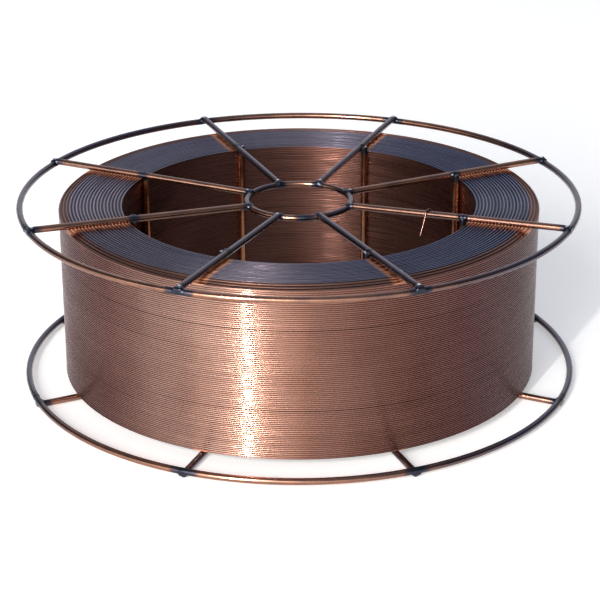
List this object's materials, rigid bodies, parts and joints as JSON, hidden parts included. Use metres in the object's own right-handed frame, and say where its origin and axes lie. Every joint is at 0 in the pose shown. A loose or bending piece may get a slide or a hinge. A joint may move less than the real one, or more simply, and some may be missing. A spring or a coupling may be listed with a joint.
{
  "type": "welding wire spool",
  "caption": "Wire basket spool of copper coated steel welding wire, layer wound between welded spoked wire flanges, with its loose end bent over a spoke",
  "frame": {"origin": "the middle of the underside, in the plane that the outer ends of the lower spokes rest on", "axes": "+Z along the spool's axis, upwards as it lies on its flange; +X and +Y across it, with the first spoke 22.5 degrees from +X"},
  "size_m": [0.3, 0.3, 0.101],
  "materials": {
    "copper_ring_wire": "drawn steel wire with a thin copper coat",
    "spoke_wire": "drawn steel wire with a thin copper coat",
    "post_wire": "drawn steel wire with a thin copper coat",
    "wound_wire": "bright drawn welding wire with a thin copper coat"
  },
  "bodies": {
    "root": {"rim_ring_top": "copper_ring_wire", "rim_ring_bottom": "copper_ring_wire", "hub_ring_top": "copper_ring_wire", "hub_ring_bottom": "copper_ring_wire", "spoke_top_1": "spoke_wire", "spoke_top_2": "spoke_wire", "spoke_top_3": "spoke_wire", "spoke_top_4": "spoke_wire", "spoke_top_5": "spoke_wire", "spoke_top_6": "spoke_wire", "spoke_top_7": "spoke_wire", "spoke_top_8": "spoke_wire", "spoke_bottom_1": "spoke_wire", "spoke_bottom_2": "spoke_wire", "spoke_bottom_3": "spoke_wire", "spoke_bottom_4": "spoke_wire", "spoke_bottom_5": "spoke_wire", "spoke_bottom_6": "spoke_wire", "spoke_bottom_7": "spoke_wire", "spoke_bottom_8": "spoke_wire", "post_1": "post_wire", "post_2": "post_wire", "post_3": "post_wire", "post_4": "post_wire", "post_5": "post_wire", "post_6": "post_wire", "post_7": "post_wire", "post_8": "post_wire", "wire_coil": "wound_wire", "wire_tail": "wound_wire"}
  },
  "joints": []
}
